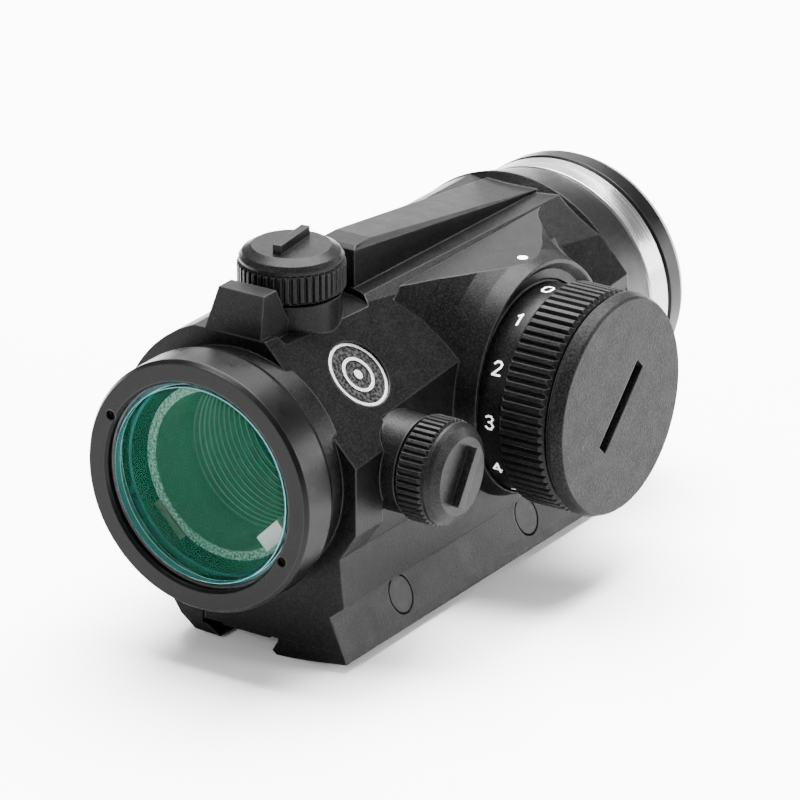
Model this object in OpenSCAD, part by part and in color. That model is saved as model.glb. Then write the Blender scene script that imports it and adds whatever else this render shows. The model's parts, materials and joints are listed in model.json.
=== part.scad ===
// Compact tube red dot sight with an integral clamp for a 9 to 11 mm dovetail rail.
// Millimetres. +X runs along the optical axis from the eye end to the target end, +Z is up.
// The brightness dial and the windage turret are on the -Y side.
// The origin lies on the rail seat, the ceiling of the clamp groove, at mid length of the base.

/* [Optics and barrel] */

// Height of the optical axis above the rail seat
axis_h = 21.3; // [19:0.1:24]
// Eye end of the ocular ring
eye_x = -37; // [-40:0.5:-35]
// Outer radius of the ocular ring
ocular_r = 15.2; // [14.8:0.1:16]
// Clear radius through the ocular ring
clear_r = 12.6; // [12:0.1:12.8]
// Radius of the rounded barrel
barrel_r = 17; // [16.5:0.1:18]
// Radius of the bore the inner tube floats in
bore_r = 12.2; // [12:0.1:12.4]
// Target end of the objective ring
target_x = 46; // [44:0.5:50]
// Thickness of the sealed end windows
window_t = 2; // [1.5:0.1:2.5]

/* [Body block] */

// Flat eye end face of the body
front_x = -28; // [-29:0.5:-27]
// Far end of the clamp base
base_end = 27; // [24:1:29]
// Height of the flat deck
deck_z = 37.05; // [36.5:0.05:38]
// Height of the blade guard in front of the elevation turret
guard_z = 42.4; // [40:0.1:44]
// Height of the sighting rib at its near end
rib_z = 42.1; // [40:0.1:43]

/* [Turrets] */

// Station of both turrets along the body
turret_x = -17.3; // [-19:0.1:-16]
// Radius of the turret caps over the knurl
cap_r = 6.35; // [5.8:0.05:7]
// Knurl teeth round a turret cap
cap_teeth = 45; // [30:1:60]

/* [Brightness dial] */

// Station of the dial axis along the body
dial_x = 10.4; // [9:0.1:12]
// Radius of the dial over the knurl
dial_r = 13.5; // [12.5:0.1:14]
// Knurl teeth round the dial
dial_teeth = 72; // [48:2:96]
// Height of the numerals
numeral_h = 1.6; // [1.4:0.1:2.6]

/* [Rail clamp] */

// Depth of the dovetail groove below the seat
groove_d = 1.6; // [1.4:0.1:2.2]
// Fixed jaw tip, measured toward -Y from the centre plane
jaw_fix = 4.3; // [4:0.1:5]
// Moving jaw tip, measured toward +Y from the centre plane
jaw_mov = 3.1; // [2.5:0.1:4]
// Half spacing of the two clamp screws
screw_half = 13.65; // [12:0.05:15]
// Radius of the clamp screw shank
screw_r = 1.25; // [1:0.05:1.5]

/* [Hidden] */

$fn = 96;

// Radial running clearance of a turning or sliding fit
run = 0.05;

// Silver ring and objective ring stations
silver_x = 37.6;
black_x = 41.6;
bell_x = 30.6;
bell_r = 17.15;
rear_r = 15.5;

// Threaded necks that carry the end rings
neck_r = 14.3;
window_r = 13.2;
window_seat_eye = -33.1;
window_face = -36.45;
window_land = 11.55;
window_boss = 11.95;
window_seat_far = 42.1;
neck_eye = -35.6;
neck_far = 44.6;

// Gimbal that carries the inner tube near its target end
pivot_x = 26;
far_bore = 12.95;
far_bore_x = 21.5;

// Gimbal pins
pin_r = 0.75;

// Inner tube
tube_r = 10.4;
tube_in = 9.5;
tube_near = -31.2;
tube_far = 33.6;
head_r = 11.6;
ring_r = 10.9;

// Turret levels, measured outward from the optical axis
boss_r = 5.9;
boss_top = 18;
post_r = 5.15;
post_top = 21;
cap_low = 18.3;
cap_top = 23.6;
pocket_floor = 14.8;
windage_floor = 13.9;

// Dial levels, measured outward from the optical axis along -Y
well_floor = 13.7;
well_r = 12.9;
lip_up = 1.1;
lip_fwd = 0.4;
skirt_r = 12.6;
skirt_low = 14.4;
knurl_low = 19.2;
knurl_top = 25.4;
cover_low = 25.7;
cover_top = 27.95;
hub_r = 2.5;
spindle_top = 18.9;
ring_low_r = 9.6;

// Badge on the shoulder, its seat and its face measured outward from the optical axis
emblem_x = -18.2;
emblem_seat = 13.35;
emblem_r = 4.2;

// Index dot beside the dial
dot_y = -13.9;
dot_r = 0.62;

// Detent ball, on a circle about the dial axis
detent_at = 10.6;
ball_r = 0.8;

// Return leaf screw station
leaf_x = -12;

// O-rings that seal the end windows
window_oring_major = 12.78;
window_oring_minor = 0.38;

// Half spacing of the guide pins, their inner end and radius
guide_half = 22;
guide_in = -2;
guide_r = 1;

// Clamp, the relief runs along both sides of the seat land
seat_relief = 0.25;
bar_in = 5.6;
bar_top = 5.9;
// Upper and lower corners of the flank over the fixed jaw
flank_in = [-12.4, 4.7];
flank_out = [-14.7, -0.8];
// Lower and side corners of the clamp bar, and the level where its lip begins
bar_low = [6.7, -1.45];
bar_side = [8.7, 0.1];
lip_top = -0.35;
screw_z = 2.75;
nut_r = 2.25;
screw_mid = -0.7;
bar_len = 54.4;

// ---------------------------------------------------------------- frames and helpers

// Cylinder along +X on the optical axis between two stations.
module along_x(x0, x1, r) {
    translate([x0, 0, axis_h])
        rotate([0, 90, 0])
            cylinder(h = x1 - x0, r = r);
}

// Solid of revolution about the optical axis, its profile given as [radius, station].
module turned_x(profile) {
    translate([0, 0, axis_h])
        rotate([0, 90, 0])
            rotate_extrude()
                polygon(profile);
}

// O-ring about the optical axis.
module oring_x(x, major, minor) {
    translate([x, 0, axis_h])
        rotate([0, 90, 0])
            ring_bead(major, minor);
}

// Round bead bent into a ring in the XY plane.
module ring_bead(major, minor) {
    rotate_extrude()
        translate([major, 0])
            circle(r = minor, $fn = 24);
}

// Frame of the elevation turret, +Z outward from the optical axis.
module at_elevation() {
    translate([turret_x, 0, axis_h])
        children();
}

// Frame of the windage turret, the same frame turned to face -Y.
module at_windage() {
    translate([turret_x, 0, axis_h])
        rotate([90, 0, 0])
            children();
}

// Frame of the dial: x along the body, y up, z outward toward -Y.
module at_dial() {
    translate([dial_x, 0, axis_h])
        rotate([90, 0, 0])
            children();
}

// Frame on the sloping shoulder, +Z outward at 45 degrees on the -Y side.
module at_shoulder(x) {
    translate([x, 0, axis_h])
        rotate([45, 0, 0])
            children();
}

// Frame opposite both turrets, +Z outward at 45 degrees down on the +Y side.
module at_return(x) {
    translate([x, 0, axis_h])
        rotate([225, 0, 0])
            children();
}

// Prism along +X with its section given as [y, z].
module prism_x(x0, x1, section) {
    translate([x0, 0, 0])
        rotate([90, 0, 90])
            linear_extrude(x1 - x0)
                polygon(section);
}

// Toothed outline with V grooves.
function teeth(r, n, depth) = [
    for (i = [0:n - 1], s = [0:2])
        let (a = 360 * (i + [0, 0.42, 0.71][s]) / n, q = s == 2 ? r - depth : r)
            [q * cos(a), q * sin(a)]
];

// Knurled band from z0 to z1 with bevelled ends.
module knurl(r, n, depth, z0, z1) {
    low = r - depth - 0.06;
    high = r + 0.05;
    intersection() {
        translate([0, 0, z0])
            linear_extrude(z1 - z0)
                polygon(teeth(r, n, depth));
        rotate_extrude()
            polygon([
                [0, z0], [low, z0], [high, z0 + high - low],
                [high, z1 - high + low], [low, z1], [0, z1]
            ]);
    }
}

// ---------------------------------------------------------------- housing

// Outer shoulder of the body on the turret side, flats milled on a round barrel.
module shoulder_block() {
    hull() {
        prism_x(front_x, front_x + 0.01, [
            [1, 37.9], [-2.7, 37.9], [-9, 30.9], [-16.1, 24.2],
            [-16.1, 15.8], [-13.8, 12.3], [1, 12.3]
        ]);
        prism_x(bell_x + 0.2, bell_x + 0.21, [
            [1, 37.05], [-6.4, 37.05], [-12.3, 33.1], [-16.1, 28.8],
            [-16.1, 15.8], [-13.8, 12.3], [1, 12.3]
        ]);
    }
}

// Upright guard that shields the elevation cap from the eye end.
module guard_block() {
    hull() {
        translate([front_x, -2.85, 35.5])
            cube([7, 8.2, 0.01]);
        translate([front_x + 0.45, -3.2, guard_z - 0.01])
            cube([2.5, 6.3, 0.01]);
    }
}

// Long sighting rib that sinks into the deck toward the target end.
module sighting_rib() {
    hull() {
        translate([-8.3, -2.7, 35.5])
            cube([0.01, 5.4, 6.2]);
        translate([-7.6, -2.4, 35.5])
            cube([3, 4.8, rib_z - 35.5]);
        translate([32.3, -3.7, 35.5])
            cube([0.01, 7.4, deck_z - 35.5]);
    }
}

// Round flared pod under the dial with a flat top level with the deck.
module dial_pod() {
    difference() {
        at_dial()
            translate([lip_fwd, lip_up, 0])
                rotate_extrude()
                    polygon([
                        [0, 6], [21.8, 6.5], [18.3, 9.4], [16.2, 12], [15, 14.2],
                        [14.5, 15.6], [14.2, 16.4], [0, 16.4]
                    ]);
        translate([-30, -30, deck_z])
            cube([80, 60, 20]);
        translate([-30, -6.7, axis_h + 12])
            cube([80, 30, 20]);
        translate([-30, -30, -20])
            cube([80, 60, 25.5]);
        along_x(-30, 60, 12.4);
        translate([bell_x - 2.5, -30, 28.6])
            cube([20, 40, 20]);
        // scoop between the flat top and the bell
        translate([29.5, -17, 34.4])
            cylinder(h = 20, r = 10.9);
    }
}

// Point at height z on the line through a and b.
function on_line(a, b, z) = [a[0] + (b[0] - a[0]) * (z - a[1]) / (b[1] - a[1]), z];

// Base above the groove, with the land that sits on the rail.
module clamp_base() {
    prism_x(front_x, base_end, [
        [5.3, 12.5], [-13.8, 12.3], [-14.4, 6.3], flank_in,
        on_line(flank_in, flank_out, seat_relief),
        [-jaw_fix + 0.4, seat_relief], [-jaw_fix + 0.4, 0],
        [jaw_mov - 0.4, 0], [jaw_mov - 0.4, seat_relief], [5.3, seat_relief]
    ]);
}

// Everything solid before the bores are cut.
module housing_mass() {
    difference() {
        union() {
            along_x(front_x, bell_x + 0.1, barrel_r);
            shoulder_block();
        }
        translate([-60, -30, deck_z])
            cube([120, 60, 20]);
        // milled away on the turret side so only the flats remain
        shoulder_relief();
        // seat of the moving clamp bar
        translate([-60, 5.3, -10])
            cube([120, 30, 16.2]);
        // round pocket about the elevation turret
        translate([turret_x, 0, axis_h + pocket_floor])
            cylinder(h = 20, r = 9.2);
        // flat recess about the windage turret
        windage_recess();
    }
    guard_block();
    sighting_rib();
    dial_pod();
    clamp_base();
    turned_x([
        [0, bell_x - 2], [15.2, bell_x - 2], [bell_r, bell_x], [rear_r, silver_x - 0.3],
        [rear_r - 0.3, silver_x], [0, silver_x]
    ]);
    along_x(neck_eye, front_x + 1, neck_r);
    along_x(silver_x - 1, neck_far, neck_r);
    at_elevation()
        turret_boss(12.6);
    at_windage()
        turret_boss(12.6);
    at_dial()
        translate([0, 0, well_floor - 0.5])
            cylinder(h = spindle_top - well_floor + 0.5, r = hub_r);
}

// Barrel stock outside the flats on the turret side.
module shoulder_relief() {
    difference() {
        translate([front_x - 1, -40, 0])
            cube([bell_x - front_x + 1, 40.5, 60]);
        shoulder_block();
        translate([front_x - 2, -40, -20])
            cube([bell_x - front_x + 4, 80, 26.3]);
        translate([base_end - 0.5, -40, -20])
            cube([bell_x - base_end + 2, 80, 32.3]);
    }
}

// Flat floor round the windage turret, open below.
module windage_recess() {
    translate([turret_x - 5.2, -30, 8])
        cube([26, 30 - windage_floor, 15.5]);
    translate([turret_x - 2.2, -30, 8])
        cube([23, 30 - windage_floor, 30]);
    translate([turret_x - 2.2, -windage_floor, 23.5])
        rotate([90, 0, 0])
            cylinder(h = 20, r = 3);
}

// Boss and threaded post of one turret.
module turret_boss(low) {
    translate([0, 0, low])
        cylinder(h = boss_top - low, r = boss_r);
    translate([0, 0, low])
        cylinder(h = post_top - low, r = post_r);
}

// Bores of one turret.
module turret_bores() {
    translate([0, 0, 14.9])
        cylinder(h = 10, r = 4);
    translate([0, 0, 5])
        cylinder(h = 12, r = 2);
}

// Well, spindle clearance and detent pocket of the dial.
module dial_bores() {
    difference() {
        union() {
            translate([0, 0, well_floor])
                cylinder(h = 10, r = well_r);
            translate([lip_fwd, lip_up, 15.5])
                cylinder(h = 1.2, r1 = 12.9, r2 = 14.1);
        }
        cylinder(h = spindle_top, r = hub_r);
    }
    translate([0, detent_at, well_floor - 3.7])
        cylinder(h = 5, r = 0.9);
    translate([0, 0, well_floor - 0.9])
        cylinder(h = 8, r = 1.05);
}

module housing() {
    color("#1d1e20")
        difference() {
            housing_mass();
            along_x(window_seat_eye - 1, far_bore_x + 1, bore_r);
            along_x(far_bore_x, window_seat_far + 1, far_bore);
            along_x(neck_eye - 1, window_seat_eye, window_r + run);
            along_x(window_seat_far, neck_far + 1, window_r + run);
            at_elevation()
                turret_bores();
            at_windage()
                turret_bores();
            at_dial()
                dial_bores();
            // blind holes for the upright gimbal pins
            translate([pivot_x, 0, axis_h - 14.8])
                cylinder(h = 29.6, r = pin_r);
            // emblem seat on the shoulder
            at_shoulder(emblem_x)
                translate([0, 0, emblem_seat])
                    cylinder(h = 6, r = emblem_r + run);
            // paint pocket of the index dot
            translate([dial_x + 0.2, dot_y, deck_z - 0.3])
                cylinder(h = 1, r = dot_r);
            // cross holes for the clamp screws and their round nuts
            for (s = [-1, 1])
                translate([screw_mid + s * screw_half, 0, screw_z]) {
                    rotate([-90, 0, 0])
                        translate([0, 0, -8])
                            cylinder(h = 20, r = screw_r + run);
                    rotate([90, 0, 0])
                        translate([0, 0, 4.5])
                            cylinder(h = 12, r = nut_r);
                }
            // blind holes for the guide pins of the clamp bar
            for (s = [-1, 1])
                translate([screw_mid + s * guide_half, guide_in, screw_z])
                    rotate([-90, 0, 0])
                        cylinder(h = 10, r = guide_r);
            // hole for the leaf screw, opposite the turrets
            at_return(leaf_x)
                translate([0, 0, 11])
                    cylinder(h = 4, r = 0.6);
        }
}

// Round badge with a plain ring and dot, no lettering.
module guard_emblem() {
    color("#8e9093")
        at_shoulder(emblem_x) {
            translate([0, 0, emblem_seat])
                cylinder(h = 0.5, r = emblem_r);
            difference() {
                translate([0, 0, 13.8])
                    cylinder(h = 0.2, r = emblem_r);
                translate([0, 0, 13.7])
                    cylinder(h = 1, r = 3.85);
            }
            difference() {
                translate([0, 0, 13.8])
                    cylinder(h = 0.2, r = 2.3);
                translate([0, 0, 13.7])
                    cylinder(h = 1, r = 1.9);
            }
            translate([0, 0, 13.8])
                cylinder(h = 0.2, r = 0.6);
        }
}

// White paint dot that marks the selected step.
module index_dot() {
    color("#f4f4f0")
        translate([dial_x + 0.2, dot_y, deck_z - 0.3])
            cylinder(h = 0.34, r = dot_r);
}

// ---------------------------------------------------------------- ocular end

module ocular_ring() {
    color("#1f2022")
        difference() {
            turned_x([
                [clear_r, eye_x + 0.35], [clear_r + 0.35, eye_x], [ocular_r - 0.2, eye_x],
                [ocular_r + 0.2, eye_x + 0.6], [ocular_r + 0.2, eye_x + 5], [ocular_r, eye_x + 5.7],
                [neck_r + run, eye_x + 5.7], [neck_r + run, eye_x + 1.1], [clear_r, eye_x + 1.1]
            ]);
            // two spanner holes across a diameter
            for (s = [-1, 1])
                translate([eye_x - 1, 0, axis_h])
                    rotate([28, 0, 0])
                        translate([0, s * 13.45, 0])
                            rotate([0, 90, 0])
                                cylinder(h = 1.8, r = 0.62, $fn = 32);
        }
}

module ocular_oring() {
    color("#141414")
        oring_x(eye_x + 1.51, window_oring_major, window_oring_minor);
}

module ocular_window() {
    color("#7fc4a6")
        turned_x([
            [0, window_face], [window_land, window_face], [window_boss, window_face + 0.3],
            [window_boss, window_seat_eye - window_t], [window_r, window_seat_eye - window_t],
            [window_r, window_seat_eye], [0, window_seat_eye]
        ]);
}

// ---------------------------------------------------------------- objective end

module accent_ring() {
    color("#c9ccd0")
        turned_x([
            [neck_r + run, silver_x + 0.05], [rear_r - 0.25, silver_x + 0.05],
            [rear_r, silver_x + 0.3], [rear_r, black_x - 0.25],
            [rear_r - 0.25, black_x], [neck_r + run, black_x]
        ]);
}

module objective_ring() {
    color("#1f2022")
        turned_x([
            [neck_r + run, black_x + 0.05], [rear_r - 0.2, black_x + 0.05],
            [rear_r + 0.1, black_x + 0.4], [rear_r, target_x - 1.6], [rear_r - 0.5, target_x - 0.5],
            [rear_r - 1, target_x], [12.9, target_x], [12.5, target_x - 0.6],
            [12.5, target_x - 1.1], [neck_r + run, target_x - 1.1]
        ]);
}

module objective_oring() {
    color("#141414")
        oring_x(target_x - 1.5, window_oring_major, window_oring_minor);
}

module objective_window() {
    color("#9fc9d6")
        turned_x([
            [0, window_seat_far], [window_r, window_seat_far],
            [window_r, window_seat_far + window_t - 0.4],
            [window_r - 0.4, window_seat_far + window_t], [0, window_seat_far + window_t]
        ]);
}

// ---------------------------------------------------------------- inner tube

// Groove bottoms and crests of the baffled bore, from the far end back to the near end.
function baffles(x0, x1, step) = [
    for (x = [x1:-step:x0], s = [0:1])
        s == 0 ? [tube_in, x] : [tube_in + 0.35, x - step / 2]
];

module inner_tube() {
    color("#4b5a52")
        difference() {
            turned_x(concat(
                [
                    [9.8, tube_near], [ring_r, tube_near], [ring_r, tube_near + 1.8],
                    [tube_r, tube_near + 2.4], [tube_r, 20], [head_r, 22.5],
                    [head_r, tube_far], [10.9, tube_far], [10.9, 29], [tube_in, 29]
                ],
                baffles(-22.5, 27.5, 1),
                [[tube_in, -23.4], [9.8, -23.8]]
            ));
            // flat that clears the return leaf
            at_return(-32)
                translate([-1, -4, 10.55])
                    cube([25, 8, 4]);
            // seats of the pivot pins
            for (s = [-1, 1])
                translate([pivot_x, s * 10.2, axis_h])
                    rotate([-90 * s, 0, 0])
                        cylinder(h = 4, r = pin_r);
            // notch that carries the emitter block
            emitter_frame()
                translate([-0.01, -2.05, -10.35])
                    cube([3.41, 4.1, 2.4]);
        }
}

// Frame of the emitter, down and to the turret side at the near end of the tube.
module emitter_frame() {
    translate([tube_near, 0, axis_h])
        rotate([-45, 0, 0])
            children();
}

// Moulded block that carries the diode inside the tube mouth.
module emitter_block() {
    color("#cfd8d3")
        difference() {
            emitter_frame()
                translate([0.02, -2, -10.3])
                    cube([3.3, 4, 2.1]);
            emitter_frame()
                translate([2.4, 0, -8.9])
                    rotate([0, 90, 0])
                        cylinder(h = 2, r = 0.55, $fn = 32);
        }
}

// Diode that shines toward the reflex lens.
module led_emitter() {
    color("#d2281e")
        emitter_frame()
            translate([2.42, 0, -8.9])
                rotate([0, 90, 0])
                    cylinder(h = 0.9, r = 0.5, $fn = 32);
}

// Flat lead laid along the outside of the tube.
module led_lead() {
    color("#b4702c")
        emitter_frame()
            translate([2.6, -1, -tube_r - 0.18])
                cube([38, 2, 0.16]);
}

// Rear half of the cemented reflex lens, its faces bowed toward the target.
module reflex_lens_rear() {
    color("#b7d8e6")
        turned_x([
            [0, 29.3], [3, 29.36], [6, 29.55], [8.5, 29.84], [10.8, 30.2],
            [10.8, 31.2], [8.5, 30.9], [6, 30.64], [3, 30.46], [0, 30.4]
        ]);
}

// Front half of the reflex lens, cemented to the rear half.
module reflex_lens_front() {
    color("#a5cfe0")
        turned_x([
            [0, 30.42], [3, 30.48], [6, 30.66], [8.5, 30.92], [10.8, 31.22],
            [10.8, 32.4], [8.5, 32.2], [6, 32.05], [3, 31.95], [0, 31.92]
        ]);
}

module lens_lock_ring() {
    color("#232426")
        turned_x([
            [9.6, 32.5], [10.85, 32.5], [10.85, 33.5], [9.9, 33.5]
        ]);
}

module gimbal_ring() {
    color("#8d8f92")
        difference() {
            turned_x([
                [11.85, pivot_x - 2.2], [12.65, pivot_x - 2.2],
                [12.65, pivot_x + 2.2], [11.85, pivot_x + 2.2]
            ]);
            translate([pivot_x, 0, axis_h - 15])
                cylinder(h = 30, r = pin_r + run);
            translate([pivot_x, -15, axis_h])
                rotate([-90, 0, 0])
                    cylinder(h = 30, r = pin_r + run);
        }
}

// Upright pins pressed into the housing, they let the gimbal ring swing sideways.
module gimbal_yaw_pins() {
    color("#c3c6ca")
        for (s = [0, 180])
            translate([pivot_x, 0, axis_h])
                rotate([s, 0, 0])
                    translate([0, 0, 12])
                        cylinder(h = 2.8, r = pin_r);
}

// Level pins pressed into the tube, they let it tip up and down in the gimbal ring.
module gimbal_pitch_pins() {
    color("#c3c6ca")
        for (s = [-1, 1])
            translate([pivot_x, s * 10.2, axis_h])
                rotate([-90 * s, 0, 0])
                    cylinder(h = 2.35, r = pin_r);
}

// Bronze leaf that presses the tube toward both adjusting plungers.
module return_leaf() {
    color("#b58b52")
        difference() {
            at_return(-31)
                translate([0, -2.6, 11.05])
                    cube([22, 5.2, 0.8]);
            at_return(-31)
                translate([1.4, -3, 10])
                    cube([15, 6, 1.5]);
            at_return(leaf_x) {
                translate([0, 0, 10.9])
                    cylinder(h = 2, r = 0.62);
                translate([0, 0, 10.9])
                    cylinder(h = 0.55, r = 1.2);
            }
        }
}

module leaf_screw() {
    color("#a9abae")
        at_return(leaf_x) {
            translate([0, 0, 11.1])
                cylinder(h = 3, r = 0.6);
            translate([0, 0, 11.1])
                cylinder(h = 0.33, r = 1.1);
        }
}

// ---------------------------------------------------------------- turret parts

// Knurled cap with a raised blade that doubles as a screwdriver.
module turret_cap(lean) {
    difference() {
        union() {
            knurl(cap_r, cap_teeth, 0.38, cap_low, 22.02);
            rotate_extrude()
                polygon([
                    [0, 21], [cap_r - 0.7, 21], [cap_r - 0.7, 22], [cap_r - 0.2, 22],
                    [cap_r - 0.2, 22.35], [5.75, 22.95], [5.5, 23.1], [4.65, cap_top], [0, cap_top]
                ]);
            rotate([0, 0, lean])
                translate([-3.6, -0.55, cap_top - 0.2])
                    cube([7.2, 1.1, 1.3]);
        }
        translate([0, 0, cap_low - 1])
            cylinder(h = 21.9 - cap_low + 1, r = post_r + run);
    }
}

// Flat gasket under the roof of a cap.
module turret_gasket() {
    difference() {
        translate([0, 0, 21.3])
            cylinder(h = 0.55, r = 5.1);
        translate([0, 0, 21])
            cylinder(h = 1, r = 3.3);
    }
}

// Slotted drum that turns on the spot and drives the plunger through a thread.
module turret_drum() {
    difference() {
        union() {
            translate([0, 0, 15.2])
                cylinder(h = 1.9, r = 3.95);
            translate([0, 0, 15.2])
                cylinder(h = 5.5, r = 2.8);
        }
        translate([-3, -0.4, 20])
            cube([6, 0.8, 2]);
        translate([0, 0, 15])
            cylinder(h = 4.2, r = 1.3);
    }
}

// Threaded ring that holds the drum down in its post.
module turret_retainer() {
    difference() {
        translate([0, 0, 17.4])
            cylinder(h = 1.7, r = 4);
        translate([0, 0, 17])
            cylinder(h = 3, r = 2.85);
        for (a = [0, 180])
            rotate([0, 0, a])
                translate([3.42, 0, 18.4])
                    cylinder(h = 2, r = 0.3, $fn = 24);
    }
}

// Plunger whose tip bears on the inner tube.
module turret_plunger() {
    difference() {
        union() {
            translate([0, 0, 12.4])
                cylinder(h = 2.1, r = 1.95);
            translate([0, 0, 12.4])
                cylinder(h = 6.2, r = 1.25);
            translate([0, 0, tube_r + run])
                cylinder(h = 12.45 - tube_r - run, r1 = 0.7, r2 = 1.3);
        }
        translate([0, 0, 13.3])
            difference() {
                cylinder(h = 0.7, r = 3);
                translate([0, 0, -1])
                    cylinder(h = 3, r = 1.55);
            }
    }
}

// Bead in the groove of a plunger.
module plunger_oring() {
    translate([0, 0, 13.65])
        ring_bead(1.74, 0.18);
}

module elevation_cap() {
    color("#232427")
        at_elevation()
            turret_cap(7);
}

module elevation_gasket() {
    color("#151515")
        at_elevation()
            turret_gasket();
}

module elevation_drum() {
    color("#b99a55")
        at_elevation()
            turret_drum();
}

module elevation_retainer() {
    color("#2b2c2e")
        at_elevation()
            turret_retainer();
}

module elevation_plunger() {
    color("#a8aaae")
        at_elevation()
            turret_plunger();
}

module elevation_oring() {
    color("#141414")
        at_elevation()
            plunger_oring();
}

module windage_cap() {
    color("#232427")
        at_windage()
            turret_cap(57);
}

module windage_gasket() {
    color("#151515")
        at_windage()
            turret_gasket();
}

module windage_drum() {
    color("#b99a55")
        at_windage()
            turret_drum();
}

module windage_retainer() {
    color("#2b2c2e")
        at_windage()
            turret_retainer();
}

module windage_plunger() {
    color("#a8aaae")
        at_windage()
            turret_plunger();
}

module windage_oring() {
    color("#141414")
        at_windage()
            plunger_oring();
}

// ---------------------------------------------------------------- brightness dial

module dial_knob() {
    color("#1c1d1f")
        at_dial()
            difference() {
                union() {
                    translate([0, 0, skirt_low])
                        cylinder(h = knurl_low - skirt_low + 0.4, r = skirt_r);
                    knurl(dial_r, dial_teeth, 0.45, knurl_low, knurl_top);
                }
                // hollow under the web
                translate([0, 0, skirt_low - 1])
                    cylinder(h = 3.1, r = ring_low_r);
                // spindle bore
                translate([0, 0, skirt_low])
                    cylinder(h = 6, r = hub_r + run);
                // room for the retaining screw and the coin cell
                translate([0, 0, 18.6])
                    cylinder(h = 3, r = 4.6);
                translate([0, 0, 20.4])
                    cylinder(h = 6, r = 10.25);
                // thread of the battery cover
                translate([0, 0, 24.35])
                    cylinder(h = 3, r = 11.5);
                // groove of the dial seal
                translate([0, 0, 14.65])
                    difference() {
                        cylinder(h = 0.9, r = 14);
                        translate([0, 0, -1])
                            cylinder(h = 3, r = 11.9);
                    }
                // twelve shallow dimples for the detent ball
                for (k = [0:11])
                    rotate([0, 0, 30 * k])
                        translate([0, detent_at, skirt_low - 0.55])
                            sphere(r = ball_r, $fn = 24);
            }
}

// One straight stroke of a numeral between two grid points, in numeral units.
module stroke(p, q) {
    u = numeral_h / 6;
    d = q - p;
    n = norm(d);
    translate([p[0] * u, p[1] * u, 0])
        rotate([0, 0, atan2(d[1], d[0])])
            translate([-0.1, -0.12, 0])
                cube([n * u + 0.2, 0.24, 1.2]);
}

// Joined strokes through a list of grid points.
module strokes(points) {
    for (i = [0:len(points) - 2])
        stroke(points[i], points[i + 1]);
}

// Numeral shapes on a grid four wide and six high, centred on the origin.
module numeral(k) {
    if (k == 0)
        strokes([[-1, 3], [1, 3], [2, 1.6], [2, -1.6], [1, -3], [-1, -3], [-2, -1.6], [-2, 1.6], [-1, 3]]);
    if (k == 1)
        strokes([[-1, 1.8], [0.4, 3], [0.4, -3]]);
    if (k == 2)
        strokes([[-1.8, 2], [-0.8, 3], [0.9, 3], [1.8, 2], [1.6, 0.8], [-1.8, -3], [1.9, -3]]);
    if (k == 3)
        strokes([[-1.7, 2.4], [-0.7, 3], [0.9, 3], [1.7, 1.8], [0.8, 0.3], [-0.4, 0.2], [0.8, 0.1],
            [1.9, -1.3], [0.9, -3], [-0.8, -3], [-1.8, -2.2]]);
    if (k == 4)
        strokes([[1.1, -3], [1.1, 3], [-1.9, -1.2], [2.2, -1.2]]);
    if (k == 5)
        strokes([[1.6, 3], [-1.3, 3], [-1.6, 0.3], [0.6, 0.7], [1.8, -0.9], [1, -3], [-0.8, -3],
            [-1.8, -2.3]]);
    if (k == 6)
        strokes([[1.4, 2.8], [-0.3, 2.7], [-1.8, 0.4], [-1.8, -1.8], [-0.9, -3], [0.9, -3], [1.8, -1.7],
            [1.7, -0.3], [0.7, 0.5], [-0.9, 0.4], [-1.8, -0.7]]);
    if (k == 7)
        strokes([[-1.9, 3], [1.9, 3], [-0.5, -3]]);
    if (k == 8)
        strokes([[-0.8, 3], [0.8, 3], [1.6, 2], [1.4, 0.8], [0, 0.2], [-1.9, -1.2], [-1.7, -2.3], [-0.9, -3],
            [0.9, -3], [1.7, -2.3], [1.9, -1.2], [0, 0.2], [-1.4, 0.8], [-1.6, 2], [-0.8, 3]]);
    if (k == 9)
        strokes([[-1.4, -2.8], [0.3, -2.7], [1.8, -0.4], [1.8, 1.8], [0.9, 3], [-0.9, 3], [-1.8, 1.7],
            [-1.7, 0.3], [-0.7, -0.5], [0.9, -0.4], [1.8, 0.7]]);
}

// Steps 0 to 11 round the skirt, 30 degrees apart, 0 uppermost and rising toward the eye end.
module dial_numerals() {
    pair = numeral_h * 0.36;
    color("#f2f2ee")
        at_dial()
            intersection() {
                for (k = [0:11])
                    rotate([0, 0, 90 + 30 * k])
                        translate([skirt_r - 0.6, 0, 17.6])
                            rotate([0, 0, 180])
                                rotate([0, -90, 0])
                                    if (k < 10)
                                        numeral(k);
                                    else {
                                        translate([-pair, 0, 0])
                                            numeral(1);
                                        translate([pair, 0, 0])
                                            numeral(k - 10);
                                    }
                difference() {
                    translate([0, 0, 15])
                        cylinder(h = 5, r = skirt_r + 0.04);
                    translate([0, 0, 14])
                        cylinder(h = 7, r = skirt_r + 0.005);
                }
            }
}

module dial_oring() {
    color("#141414")
        at_dial()
            translate([0, 0, 15.1])
                ring_bead(12.35, 0.4);
}

// Round circuit board with the step contacts, fixed to the floor of the well.
module switch_board() {
    color("#2c5a3a")
        at_dial()
            difference() {
                union() {
                    translate([0, 0, well_floor + 0.02])
                        cylinder(h = 0.8, r = 9.2);
                    for (k = [0:11])
                        rotate([0, 0, 30 * k])
                            translate([6.6, -0.6, well_floor + 0.7])
                                cube([1.8, 1.2, 0.2]);
                    translate([-5.2, -1.6, well_floor + 0.7])
                        cube([1.9, 3.2, 0.9]);
                }
                translate([0, 0, well_floor - 1])
                    cylinder(h = 4, r = hub_r + 0.2);
            }
}

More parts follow.
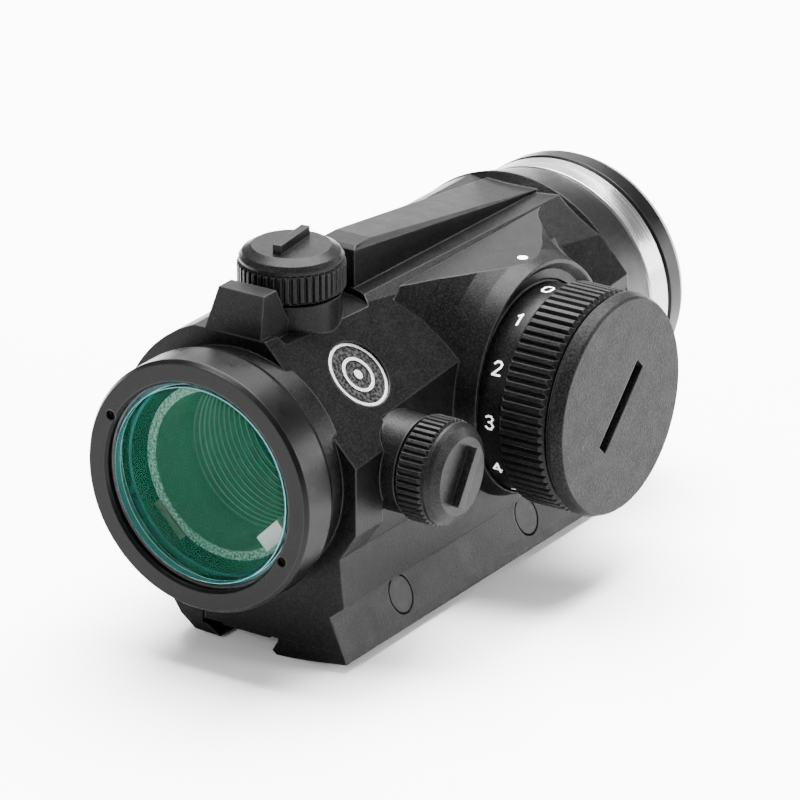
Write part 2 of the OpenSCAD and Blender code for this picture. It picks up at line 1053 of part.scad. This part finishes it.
// Wide headed screw that keeps the dial on its spindle.
module dial_screw() {
    color("#b3b5b8")
        at_dial()
            difference() {
                union() {
                    translate([0, 0, well_floor + 5.25])
                        cylinder(h = 1.2, r = 4.1);
                    translate([0, 0, well_floor - 0.8])
                        cylinder(h = 6.4, r = 1.05);
                }
                translate([-2.6, -0.4, well_floor + 5.85])
                    cube([5.2, 0.8, 1]);
            }
}

module detent_ball() {
    color("#d0d2d5")
        at_dial()
            translate([0, detent_at, skirt_low - 0.85])
                sphere(r = ball_r, $fn = 32);
}

// Closed coils of the detent spring, drawn as stacked rings.
module detent_spring() {
    color("#a9abae")
        at_dial()
            for (i = [0:5])
                translate([0, detent_at, well_floor - 3.45 + i * 0.47])
                    ring_bead(0.6, 0.22);
}

// CR2032 cell, positive can with the smaller negative cap toward the body.
module coin_cell() {
    color("#c4c7ca")
        at_dial() {
            translate([0, 0, 21.2])
                cylinder(h = 2.9, r = 10);
            translate([0, 0, 20.9])
                cylinder(h = 0.4, r = 8.4);
        }
}

// Contact dish between the web of the dial and the negative cap of the cell.
module cell_contact() {
    color("#c9a24a")
        at_dial()
            difference() {
                translate([0, 0, 20.42])
                    cylinder(h = 0.4, r = 7.5);
                translate([0, 0, 20])
                    cylinder(h = 1, r = 5.2);
            }
}

// Battery cover with a coin slot, screwed into the dial.
module battery_cover() {
    color("#212225")
        at_dial()
            difference() {
                union() {
                    rotate_extrude()
                        polygon([
                            [0, cover_low], [dial_r - 0.45, cover_low], [dial_r - 0.45, 26.1],
                            [dial_r + 0.1, 26.3], [dial_r + 0.1, 26.6], [dial_r - 0.25, cover_top - 0.35],
                            [dial_r - 0.5, cover_top], [0, cover_top]
                        ]);
                    translate([0, 0, 24.4])
                        cylinder(h = 1.6, r = 11.45);
                }
                // groove of the cover seal
                translate([0, 0, 24.9])
                    difference() {
                        cylinder(h = 0.75, r = 12);
                        translate([0, 0, -1])
                            cylinder(h = 3, r = 10.75);
                    }
                // coin slot
                rotate([0, 0, 45])
                    translate([-5.9, -0.9, cover_top - 1.2])
                        cube([11.8, 1.8, 2]);
            }
}

module cover_oring() {
    color("#141414")
        at_dial()
            translate([0, 0, 25.28])
                ring_bead(11.1, 0.32);
}

// ---------------------------------------------------------------- rail clamp

// Undercut lip under the base, a node of its own so the groove beside it stays open.
module fixed_jaw() {
    color("#1d1e20")
        prism_x(front_x, base_end, [
            on_line(flank_in, flank_out, seat_relief), flank_out,
            [-10.5, -1.4], [-6.8, -1.8], [-4.9, -1.9], [-jaw_fix, -groove_d + 0.2],
            [-jaw_fix - 0.8, -0.1], [-jaw_fix - 0.8, seat_relief]
        ]);
}

// Undercut lip of the moving jaw, parted from the clamp bar for the same reason.
module jaw_lip() {
    color("#1d1e20")
        prism_x(front_x, front_x + bar_len, [
            [jaw_mov, -groove_d], bar_low, on_line(bar_low, bar_side, lip_top),
            [jaw_mov + 2.1, lip_top]
        ]);
}

// Moving jaw along the whole base, drawn in by two screws.
module clamp_bar() {
    color("#1d1e20")
        difference() {
            prism_x(front_x, front_x + bar_len, [
                on_line(bar_low, bar_side, lip_top), bar_side, [10, 2], [10.3, 4],
                [9.6, bar_top], [bar_in, bar_top], [bar_in, lip_top]
            ]);
            for (s = [-1, 1])
                translate([screw_mid + s * screw_half, 0, screw_z])
                    rotate([-90, 0, 0]) {
                        cylinder(h = 20, r = screw_r + 0.03);
                        translate([0, 0, 7.6])
                            cylinder(h = 10, r = 2.3);
                    }
            for (s = [-1, 1])
                translate([screw_mid + s * guide_half, 0, screw_z])
                    rotate([-90, 0, 0])
                        cylinder(h = 20, r = guide_r + run);
        }
}

// Pins pressed into the base that keep the bar square.
module clamp_guide_pins() {
    color("#b9bbbe")
        for (s = [-1, 1])
            translate([screw_mid + s * guide_half, guide_in, screw_z])
                rotate([-90, 0, 0])
                    cylinder(h = 11.4, r = guide_r);
}

// Socket head screw of the clamp.
module clamp_screw(s) {
    translate([screw_mid + s * screw_half, 0, screw_z])
        rotate([-90, 0, 0])
            difference() {
                union() {
                    translate([0, 0, -10.5])
                        cylinder(h = 18.2, r = screw_r);
                    translate([0, 0, 7.65])
                        cylinder(h = 2.3, r = 2.2);
                }
                translate([0, 0, 8.6])
                    cylinder(h = 3, r = 1.15, $fn = 6);
            }
}

module clamp_screw_near() {
    color("#35363a")
        clamp_screw(-1);
}

module clamp_screw_far() {
    color("#35363a")
        clamp_screw(1);
}

// Two round nuts pressed in flush with the sloping side of the base.
module clamp_nuts() {
    color("#2a2b2e")
        for (s = [-1, 1])
            intersection() {
                translate([screw_mid + s * screw_half, 0, screw_z])
                    rotate([90, 0, 0])
                        difference() {
                            union() {
                                translate([0, 0, 4.5])
                                    cylinder(h = 7, r = nut_r);
                                translate([0, 0, 4.5])
                                    cylinder(h = 12, r = nut_r - 0.15);
                            }
                            translate([0, 0, 4])
                                cylinder(h = 7.5, r = screw_r + run);
                        }
                prism_x(-60, 60, [
                    [0, 10], [-10.2, 10], [-12.38, 4.7], [-14.68, -0.8], [-14.9, -4], [0, -4]
                ]);
            }
}

// ---------------------------------------------------------------- assembly

housing();
guard_emblem();
index_dot();
ocular_ring();
ocular_oring();
ocular_window();
accent_ring();
objective_ring();
objective_oring();
objective_window();
inner_tube();
reflex_lens_rear();
reflex_lens_front();
lens_lock_ring();
gimbal_ring();
gimbal_yaw_pins();
gimbal_pitch_pins();
emitter_block();
led_emitter();
led_lead();
return_leaf();
leaf_screw();
elevation_cap();
elevation_gasket();
elevation_drum();
elevation_retainer();
elevation_plunger();
elevation_oring();
windage_cap();
windage_gasket();
windage_drum();
windage_retainer();
windage_plunger();
windage_oring();
dial_knob();
dial_numerals();
dial_oring();
switch_board();
dial_screw();
detent_ball();
detent_spring();
coin_cell();
cell_contact();
battery_cover();
cover_oring();
fixed_jaw();
clamp_bar();
jaw_lip();
clamp_guide_pins();
clamp_screw_near();
clamp_screw_far();
clamp_nuts();
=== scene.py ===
"""Looks, lights and camera of a compact tube red dot sight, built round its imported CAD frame."""

import json
import math

import bpy
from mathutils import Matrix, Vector


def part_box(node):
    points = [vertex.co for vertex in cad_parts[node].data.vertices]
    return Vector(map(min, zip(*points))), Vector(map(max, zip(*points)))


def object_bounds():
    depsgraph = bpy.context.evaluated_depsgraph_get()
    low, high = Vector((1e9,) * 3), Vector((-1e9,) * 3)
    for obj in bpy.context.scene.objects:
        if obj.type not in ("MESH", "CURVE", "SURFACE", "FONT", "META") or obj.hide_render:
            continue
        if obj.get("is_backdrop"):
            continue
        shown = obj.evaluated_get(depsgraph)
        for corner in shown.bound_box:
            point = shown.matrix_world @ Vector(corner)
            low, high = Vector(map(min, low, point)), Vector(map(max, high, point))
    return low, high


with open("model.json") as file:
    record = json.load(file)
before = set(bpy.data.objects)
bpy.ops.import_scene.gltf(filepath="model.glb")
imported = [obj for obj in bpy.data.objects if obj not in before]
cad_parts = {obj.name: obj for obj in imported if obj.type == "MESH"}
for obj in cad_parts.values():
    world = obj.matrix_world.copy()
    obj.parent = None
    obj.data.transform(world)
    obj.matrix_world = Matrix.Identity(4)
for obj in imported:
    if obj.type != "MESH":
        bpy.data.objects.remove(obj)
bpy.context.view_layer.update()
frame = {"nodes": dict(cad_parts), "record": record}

MM = 0.001
# Ripple pitches of the turned black faces, the silver ring and the baffled bore
LATHE_PITCH = 0.16 * MM
FINE_LATHE_PITCH = 0.11 * MM
BAFFLE_PITCH = 0.5 * MM
# Where the tube's frosted lip ends, its bore wall gives way to the outside, and its baffle begins
LIP_DEPTH = (0.05 * MM, 0.3 * MM)
BORE_EDGE = (9.75 * MM, 9.95 * MM)
BAFFLE_START = (7.2 * MM, 8.2 * MM)
# Width of the painted shadow ring inside the rim of each clamp nut
NUT_SHADOW_RING = (0.32 * MM, 0.2 * MM)
# Radii where the ground rims of the windows and the lens begin
OCULAR_RIM = 11.85 * MM
OBJECTIVE_RIM = 12.75 * MM
LENS_RIM = 10.6 * MM
# Edge rounding of the turned parts and the ground rims
TURNED_EDGE = 0.2 * MM
# Heights of the badge's field and of its raised rings above the optical axis
BADGE_FIELD = 13.88 * MM
BADGE_RINGS = 13.96 * MM
record = frame["record"]
AXIS_Z = sum(c[2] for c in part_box("ocular_ring")) / 2
LIP_TOPS = (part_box("fixed_jaw")[1][2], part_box("jaw_lip")[1][2])
JOIN_Z = sum(LIP_TOPS) / 2
JOIN_HALF = (max(LIP_TOPS) - min(LIP_TOPS)) / 2 + 0.05 * MM


# ---------------------------------------------------------------- node helpers


class Graph:
    """A small helper round one material's node tree."""

    def __init__(self, name):
        self.material = bpy.data.materials.new(name)
        self.material.use_nodes = True
        self.nodes = self.material.node_tree.nodes
        self.links = self.material.node_tree.links
        self.nodes.clear()
        self.output = self.nodes.new("ShaderNodeOutputMaterial")
        self.shader = self.nodes.new("ShaderNodeBsdfPrincipled")
        self.link(self.shader.outputs["BSDF"], self.output.inputs["Surface"])
        self.place = self.nodes.new("ShaderNodeTexCoord").outputs["Object"]

    def link(self, source, target):
        self.links.new(source, target)

    def set(self, **values):
        """Constants straight on the shader's sockets."""
        for key, value in values.items():
            self.shader.inputs[key.replace("_", " ")].default_value = value

    def math(self, kind, a, b=None):
        node = self.nodes.new("ShaderNodeMath")
        node.operation = kind
        for socket, value in zip(node.inputs, (a, b)):
            if value is None:
                continue
            if isinstance(value, (int, float)):
                socket.default_value = value
            else:
                self.link(value, socket)
        return node.outputs[0]

    def waves(self, length, pitch):
        """Sine ripple of a length, one crest every pitch."""
        return self.math("SINE", self.math("MULTIPLY", length, 2 * math.pi / pitch))

    def moved(self, origin, scale=(1, 1, 1)):
        """Object coordinates counted from origin, stretched by scale."""
        node = self.nodes.new("ShaderNodeVectorMath")
        node.operation = "SUBTRACT"
        node.inputs[1].default_value = origin
        self.link(self.place, node.inputs[0])
        stretch = self.nodes.new("ShaderNodeVectorMath")
        stretch.operation = "MULTIPLY"
        stretch.inputs[1].default_value = scale
        self.link(node.outputs[0], stretch.inputs[0])
        return stretch.outputs[0]

    def along(self, direction, origin=(0, 0, 0)):
        """Distance from origin along a direction."""
        node = self.nodes.new("ShaderNodeVectorMath")
        node.operation = "DOT_PRODUCT"
        node.inputs[1].default_value = Vector(direction).normalized()
        self.link(self.moved(origin), node.inputs[0])
        return node.outputs["Value"]

    def radius(self, origin, axis):
        """Distance from an axis through origin, where axis is a row axis, 0 to 2."""
        keep = [0.0 if i == axis else 1.0 for i in range(3)]
        node = self.nodes.new("ShaderNodeVectorMath")
        node.operation = "LENGTH"
        self.link(self.moved(origin, keep), node.inputs[0])
        return node.outputs["Value"]

    def noise(self, scale, detail=3.0, rough=0.55, vector=None):
        node = self.nodes.new("ShaderNodeTexNoise")
        node.inputs["Scale"].default_value = scale
        node.inputs["Detail"].default_value = detail
        node.inputs["Roughness"].default_value = rough
        self.link(vector or self.place, node.inputs["Vector"])
        return node.outputs[0]

    def cells(self, scale):
        node = self.nodes.new("ShaderNodeTexVoronoi")
        node.inputs["Scale"].default_value = scale
        self.link(self.place, node.inputs["Vector"])
        return node.outputs["Distance"]

    def spread(self, value, low, high, out_low, out_high):
        """Maps low..high of value to out_low..out_high, held at the ends."""
        node = self.nodes.new("ShaderNodeMapRange")
        for name, number in (
            ("From Min", low),
            ("From Max", high),
            ("To Min", out_low),
            ("To Max", out_high),
        ):
            node.inputs[name].default_value = number
        self.link(value, node.inputs["Value"])
        return node.outputs[0]

    def mix(self, factor, a, b):
        """Colour a where factor is 0, b where it is 1."""
        node = self.nodes.new("ShaderNodeMix")
        node.data_type = "RGBA"
        self.link(factor, node.inputs[0])
        for socket, value in ((node.inputs[6], a), (node.inputs[7], b)):
            if isinstance(value, tuple):
                socket.default_value = (*value, 1.0)
            else:
                self.link(value, socket)
        return node.outputs[2]

    def bevelled(self, radius):
        """Surface normal with its edges rounded by radius."""
        node = self.nodes.new("ShaderNodeBevel")
        node.samples = 6
        if isinstance(radius, float):
            node.inputs["Radius"].default_value = radius
        else:
            self.link(radius, node.inputs["Radius"])
        return node.outputs[0]

    def off_seams(self, radius):
        """Edge radius that falls to nothing level with the plain joins of the two jaw lips."""
        level = self.math("ABSOLUTE", self.along((0, 0, 1), (0, 0, JOIN_Z)))
        return self.spread(level, JOIN_HALF, JOIN_HALF + 0.05 * MM, 0.0, radius)

    def edges(self, radius):
        """About 1 along sharp edges and 0 on flats."""
        node = self.nodes.new("ShaderNodeVectorMath")
        node.operation = "DOT_PRODUCT"
        self.link(self.bevelled(radius), node.inputs[0])
        self.link(self.nodes.new("ShaderNodeNewGeometry").outputs["Normal"], node.inputs[1])
        return self.spread(node.outputs["Value"], 0.86, 0.99, 1.0, 0.0)

    def bump(self, height, strength, distance, edge=None):
        """Relief from a height, over edges softened by the given radius."""
        node = self.nodes.new("ShaderNodeBump")
        node.inputs["Strength"].default_value = strength
        node.inputs["Distance"].default_value = distance
        self.link(height, node.inputs["Height"])
        if edge is not None:
            self.link(self.bevelled(edge), node.inputs["Normal"])
        self.link(node.outputs[0], self.shader.inputs["Normal"])

    def colour(self, socket):
        self.link(socket, self.shader.inputs["Base Color"])

    def roughness(self, socket):
        self.link(socket, self.shader.inputs["Roughness"])

    def cloudy_roughness(self, scale, detail, low, high, rough=0.55):
        """Roughness that drifts between low and high with a noise."""
        self.roughness(self.spread(self.noise(scale, detail, rough), 0.3, 0.7, low, high))


def grey(value, blue=0.0):
    """A near neutral colour, a touch cooler by blue."""
    return (value, value * (1 + blue * 0.4), value * (1 + blue))


# Pale grey for sharp edges: part edge wear, part painted highlight.
EDGE_WEAR_AND_HIGHLIGHT_GREY = grey(0.025, 0.03)


# ---------------------------------------------------------------- materials


def anodised(name, tone=0.05, rough=0.36, grain=5200, relief=0.6, edge=0.00022, ior=1.14):
    """Black anodised aluminium over a fine bead blast, lighter along its edges: part wear, part
    painted highlight.
    """
    g = Graph(name)
    cloud = g.noise(140, 4)
    fine = g.noise(grain, 2, 0.7)
    speckle = g.spread(g.noise(grain * 0.8, 2, 0.8), 0.45, 0.75, 0.0, 1.0)
    shade = g.mix(cloud, grey(tone * 0.8, 0.04), grey(tone * 1.2, 0.04))
    blasted = g.mix(speckle, shade, grey(tone * 9.0, 0.04))
    # Edge mask broken up by the cloud noise: lighter edges, partly wear and partly a painted
    # highlight.
    edge_wear_and_highlight = g.math("MULTIPLY", g.edges(g.off_seams(edge * 1.4)), g.spread(cloud, 0.3, 0.6, 0.3, 1.0))
    g.colour(g.mix(edge_wear_and_highlight, blasted, EDGE_WEAR_AND_HIGHLIGHT_GREY))
    g.cloudy_roughness(420, 5, rough - 0.05, rough + 0.06, 0.65)
    g.set(IOR=ior)
    g.bump(fine, relief, 0.00005, g.off_seams(edge))
    return g.material


def turned_black(name, axis_origin, axis, tone, rough, ior):
    """Black anodised aluminium with faint lathe rings about an axis."""
    g = Graph(name)
    radial = g.radius(axis_origin, axis)
    rings = g.waves(radial, LATHE_PITCH)
    fine = g.noise(6500, 2, 0.7)
    height = g.math("ADD", g.math("MULTIPLY", rings, 0.18), fine)
    cloud = g.noise(160, 4)
    shade = g.mix(cloud, grey(tone * 0.7, 0.04), grey(tone * 1.4, 0.04))
    # Sharp edges mixed to pale grey: part wear, part painted highlight.
    g.colour(g.mix(g.edges(TURNED_EDGE), shade, EDGE_WEAR_AND_HIGHLIGHT_GREY))
    g.cloudy_roughness(500, 4, rough - 0.04, rough + 0.06)
    g.set(IOR=ior)
    g.bump(height, 0.45, 0.00003, TURNED_EDGE)
    return g.material


def nut_black(name, tone=0.004):
    """Black oxide nuts with a painted shadow ring round each rim, where their specular reflection
    is cut.
    """
    g = Graph(name)
    low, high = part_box("clamp_nuts")
    rim = (high[2] - low[2]) / 2
    level = (high[2] + low[2]) / 2
    near = g.radius((low[0] + rim, 0, level), 1)
    far = g.radius((high[0] - rim, 0, level), 1)
    nearest = g.math("MINIMUM", near, far)
    shadow_ring = g.spread(nearest, rim - NUT_SHADOW_RING[0], rim - NUT_SHADOW_RING[1], 0.0, 1.0)
    g.colour(g.mix(g.noise(900, 3), grey(tone * 0.8), grey(tone * 1.3)))
    # Specular level cut to almost nothing inside each rim: a painted shadow ring.
    g.link(g.spread(shadow_ring, 0.0, 1.0, 0.5, 0.02), g.shader.inputs["Specular IOR Level"])
    g.cloudy_roughness(1400, 3, 0.34, 0.46)
    g.set(IOR=1.16)
    g.bump(g.noise(5200, 2), 0.25, 0.00003, 0.0001)
    return g.material


def silver(name):
    """Bright turned aluminium with fine rings round the optical axis."""
    g = Graph(name)
    station = g.along((1, 0, 0))
    rings = g.waves(station, FINE_LATHE_PITCH)
    streak = g.noise(1, 3, 0.6, g.moved((0, 0, 0), (5200, 60, 60)))
    g.colour(g.mix(streak, grey(0.2, 0.02), grey(0.34, 0.01)))
    g.roughness(g.spread(streak, 0.3, 0.7, 0.2, 0.34))
    g.set(Metallic=1.0, Anisotropic=0.5)
    g.bump(g.math("ADD", rings, streak), 0.12, 0.00002, 0.00015)
    return g.material


def steel(name, tone=0.55, rough=0.3, tint=(1, 1, 1)):
    """Turned steel, or another bare metal when tinted."""
    g = Graph(name)
    low = tuple(tone * 0.85 * t for t in tint)
    high = tuple(tone * 1.12 * t for t in tint)
    g.colour(g.mix(g.noise(900, 4), low, high))
    g.cloudy_roughness(1600, 4, rough - 0.06, rough + 0.1)
    g.set(Metallic=1.0)
    g.bump(g.noise(4200, 3), 0.12, 0.00002, 0.0001)
    return g.material


def paint(name, colour=(0.9, 0.9, 0.87)):
    """Filled paint with a slightly dry surface."""
    g = Graph(name)
    dark = tuple(c * 0.86 for c in colour)
    g.colour(g.mix(g.noise(3000, 3), dark, colour))
    g.cloudy_roughness(2600, 2, 0.5, 0.66)
    g.bump(g.noise(5200, 2), 0.15, 0.00002)
    return g.material


def rubber(name):
    """Matte black seal rubber with a faint bloom."""
    g = Graph(name)
    g.colour(g.mix(g.noise(700, 4), grey(0.012), grey(0.03)))
    g.cloudy_roughness(1500, 3, 0.55, 0.8)
    g.bump(g.noise(3600, 3), 0.25, 0.00003)
    return g.material


def plastic(name, colour, rough=0.45):
    """Moulded plastic with a light texture."""
    g = Graph(name)
    dark = tuple(c * 0.88 for c in colour)
    g.colour(g.mix(g.noise(600, 3), dark, colour))
    g.cloudy_roughness(1400, 3, rough - 0.06, rough + 0.08)
    g.bump(g.noise(3800, 2), 0.15, 0.00002, 0.0001)
    return g.material


def coated_glass(name, colour, alpha, rim_radius, rim_alpha=0.85):
    """Coated end window whose rim is painted dark as shade, with a painted highlight along its
    edges.
    """
    g = Graph(name)
    radial = g.radius((0, 0, AXIS_Z), 0)
    rim = g.spread(radial, rim_radius - 0.08 * MM, rim_radius, 0.0, 1.0)
    tone = g.mix(g.noise(60, 2), colour, tuple(c * 1.12 for c in colour))
    # Rim painted dark teal as painted shade, and pale along its sharp edges as a painted highlight.
    rim_shade_and_highlight = g.mix(g.edges(TURNED_EDGE), (0.02, 0.12, 0.13), (0.75, 0.9, 0.95))
    g.colour(g.mix(rim, tone, rim_shade_and_highlight))
    g.link(g.spread(rim, 0.0, 1.0, alpha, rim_alpha), g.shader.inputs["Alpha"])
    g.cloudy_roughness(40, 2, 0.03, 0.06)
    g.set(IOR=1.5, Specular_IOR_Level=0.06)
    return g.material


def tube_black(name):
    """Inner tube: frosted front lip, matte bore with fine baffle grooves drawn as painted
    highlights on their crests.
    """
    g = Graph(name)
    lip_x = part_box("inner_tube")[0][0]
    station = g.along((1, 0, 0), (lip_x, 0, 0))
    radial = g.radius((0, 0, AXIS_Z), 0)
    lip = g.spread(station, *LIP_DEPTH, 1.0, 0.0)
    bore = g.spread(radial, *BORE_EDGE, 1.0, 0.0)
    cut = g.waves(station, BAFFLE_PITCH)
    crest = g.spread(cut, 0.1, 0.8, 0.0, 1.0)
    deep = g.spread(station, *BAFFLE_START, 0.0, 1.0)
    grain = g.spread(g.noise(3400, 2), 0.4, 0.62, 0.0, 1.0)
    frost = g.mix(grain, (0.04, 0.15, 0.11), (0.3, 0.5, 0.42))
    wall = g.mix(g.noise(300, 4), (0.003, 0.06, 0.025), (0.005, 0.08, 0.035))
    # Baffle crests painted pale green between dark grooves: painted highlight and painted shade of
    # the grooves.
    crest_highlight = g.mix(crest, (0.003, 0.06, 0.025), (0.14, 0.3, 0.2))
    inside = g.mix(deep, wall, crest_highlight)
    outside = g.mix(g.noise(200, 3), (0.03, 0.032, 0.031), (0.045, 0.047, 0.046))
    g.colour(g.mix(lip, g.mix(bore, outside, inside), frost))
    g.cloudy_roughness(900, 3, 0.45, 0.6)
    g.bump(g.noise(4200, 3), 0.25, 0.00003, 0.00008)
    return g.material


def emblem(name):
    """Round badge: stippled field, bright raised rings."""
    g = Graph(name)
    height = g.along((0, -1, 1), (0, 0, AXIS_Z))
    raised = g.spread(height, BADGE_FIELD, BADGE_RINGS, 0.0, 1.0)
    stipple = g.cells(2600)
    field = g.mix(g.spread(stipple, 0.3, 0.8, 0.0, 1.0), grey(0.002), grey(0.03))
    g.colour(g.mix(raised, field, grey(0.5)))
    g.roughness(g.spread(raised, 0.0, 1.0, 0.5, 0.26))
    g.set(Metallic=0.6, IOR=1.15)
    g.bump(stipple, 0.8, 0.00006, 0.00006)
    return g.material


def board(name):
    """Green solder mask with plated contact pads."""
    g = Graph(name)
    low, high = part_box("switch_board")
    depth = g.along((0, -1, 0), (0, high[1], 0))
    pads = g.spread(depth, 0.82 * MM, 0.86 * MM, 0.0, 1.0)
    mask = g.mix(g.noise(500, 3), (0.03, 0.16, 0.08), (0.05, 0.22, 0.11))
    g.colour(g.mix(pads, mask, (0.75, 0.58, 0.3)))
    g.link(pads, g.shader.inputs["Metallic"])
    g.cloudy_roughness(1200, 2, 0.3, 0.45)
    g.bump(g.noise(2500, 2), 0.1, 0.00002)
    return g.material


def make_looks():
    """One material per kind of finish, keyed by the record's material slots."""
    axis = (0, 0, AXIS_Z)
    return {
        "body_black": anodised("body_black", 0.0008, 0.34),
        "ring_black": turned_black("ring_black", axis, 0, 0.0012, 0.3, 1.15),
        "cap_black": anodised("cap_black", 0.0012, 0.34, 6000, 0.5, 0.00012),
        "cover_black": anodised("cover_black", 0.0015, 0.42, 5200, 0.9, 0.0002, 1.11),
        "tube_black": tube_black("tube_black"),
        "nut_black": nut_black("nut_black"),
        "screw_black": steel("screw_black", 0.02, 0.32),
        "silver_ring": silver("silver_ring"),
        "emblem_metal": emblem("emblem_metal"),
        "white_paint": paint("white_paint"),
        "seal_rubber": rubber("seal_rubber"),
        "green_glass": coated_glass("green_glass", (0.0, 0.03, 0.016), 0.3, OCULAR_RIM),
        "clear_glass": coated_glass("clear_glass", (0.007, 0.009, 0.022), 0.5, OBJECTIVE_RIM),
        "lens_glass": coated_glass("lens_glass", (0.01, 0.09, 0.05), 0.3, LENS_RIM, 0.5),
        "steel": steel("steel"),
        "emitter_plastic": plastic("emitter_plastic", (0.72, 0.8, 0.78), 0.4),
        "led_red": plastic("led_red", (0.75, 0.05, 0.03), 0.2),
        "flex_amber": plastic("flex_amber", (0.5, 0.26, 0.06), 0.35),
        "spring_bronze": steel("spring_bronze", 0.8, 0.35, (1.0, 0.86, 0.66)),
        "drum_brass": steel("drum_brass", 0.75, 0.3, (1.0, 0.8, 0.42)),
        "board_green": board("board_green"),
        "cell_steel": steel("cell_steel", 0.75, 0.22),
    }


def dress(looks):
    """Gives each CAD node the material of its slot in the record."""
    for part in record["subparts"]:
        node = frame["nodes"][part["node"]]
        look = looks[part["material_slot"]]
        if not node.material_slots:
            node.data.materials.append(look)
        for slot in node.material_slots:
            slot.material = look


# ---------------------------------------------------------------- stage


def studio_floor():
    """Wide pale floor under the lowest point of the sight."""
    low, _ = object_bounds()
    bpy.ops.mesh.primitive_plane_add(size=6, location=(0, 0, low[2] - 0.00005))
    floor = bpy.context.object
    floor.name = "studio_floor"
    g = Graph("studio_floor")
    g.colour(g.mix(g.noise(3, 2), grey(0.9), grey(0.93)))
    g.cloudy_roughness(20, 2, 0.7, 0.8)
    floor.data.materials.append(g.material)
    floor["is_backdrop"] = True


def soft_light(name, place, aim, size, power, tint=(1, 1, 1)):
    """Square soft box at place, turned toward aim."""
    light = bpy.data.lights.new(name, "AREA")
    light.shape = "RECTANGLE"
    light.size, light.size_y = size
    light.energy = power
    light.color = tint
    lamp = bpy.data.objects.new(name, light)
    lamp.location = place
    lamp.rotation_euler = (Vector(aim) - Vector(place)).to_track_quat("-Z", "Y").to_euler()
    bpy.context.collection.objects.link(lamp)


def studio_lights():
    """Large overhead box, side boxes and a pale room."""
    middle = (0, 0, AXIS_Z)
    soft_light("top_box", (0.25, 0.1, 0.9), middle, (0.8, 0.8), 125)
    soft_light("back_box", (0.75, 0.45, 0.4), middle, (0.5, 0.5), 3)
    soft_light("right_box", (0.3, -0.95, 0.3), middle, (0.35, 0.6), 10)
    soft_light("strip_box", (0.8, -0.6, 0.16), middle, (0.12, 0.3), 7)
    soft_light("front_box", (-0.9, 0.2, 0.45), middle, (0.35, 0.35), 5)
    world = bpy.data.worlds.new("studio")
    bpy.context.scene.world = world
    world.use_nodes = True
    backdrop = world.node_tree.nodes["Background"]
    backdrop.inputs["Color"].default_value = (1, 1, 1, 1)
    backdrop.inputs["Strength"].default_value = 0.7


def add_camera():
    """Long lens above the eye end on the dial side."""
    azimuth, elevation = -56.47, 22.74
    data = bpy.data.cameras.new("camera")
    data.lens = 300.2
    data.sensor_width = 36
    data.clip_start = 0.01
    data.clip_end = 20
    camera = bpy.data.objects.new("camera", data)
    camera.location = (-0.60799, -0.40645, 0.32586)
    camera.rotation_euler = (math.radians(90 - elevation), 0, math.radians(azimuth))
    bpy.context.collection.objects.link(camera)
    bpy.context.scene.camera = camera


add_camera()
dress(make_looks())
studio_floor()
studio_lights()
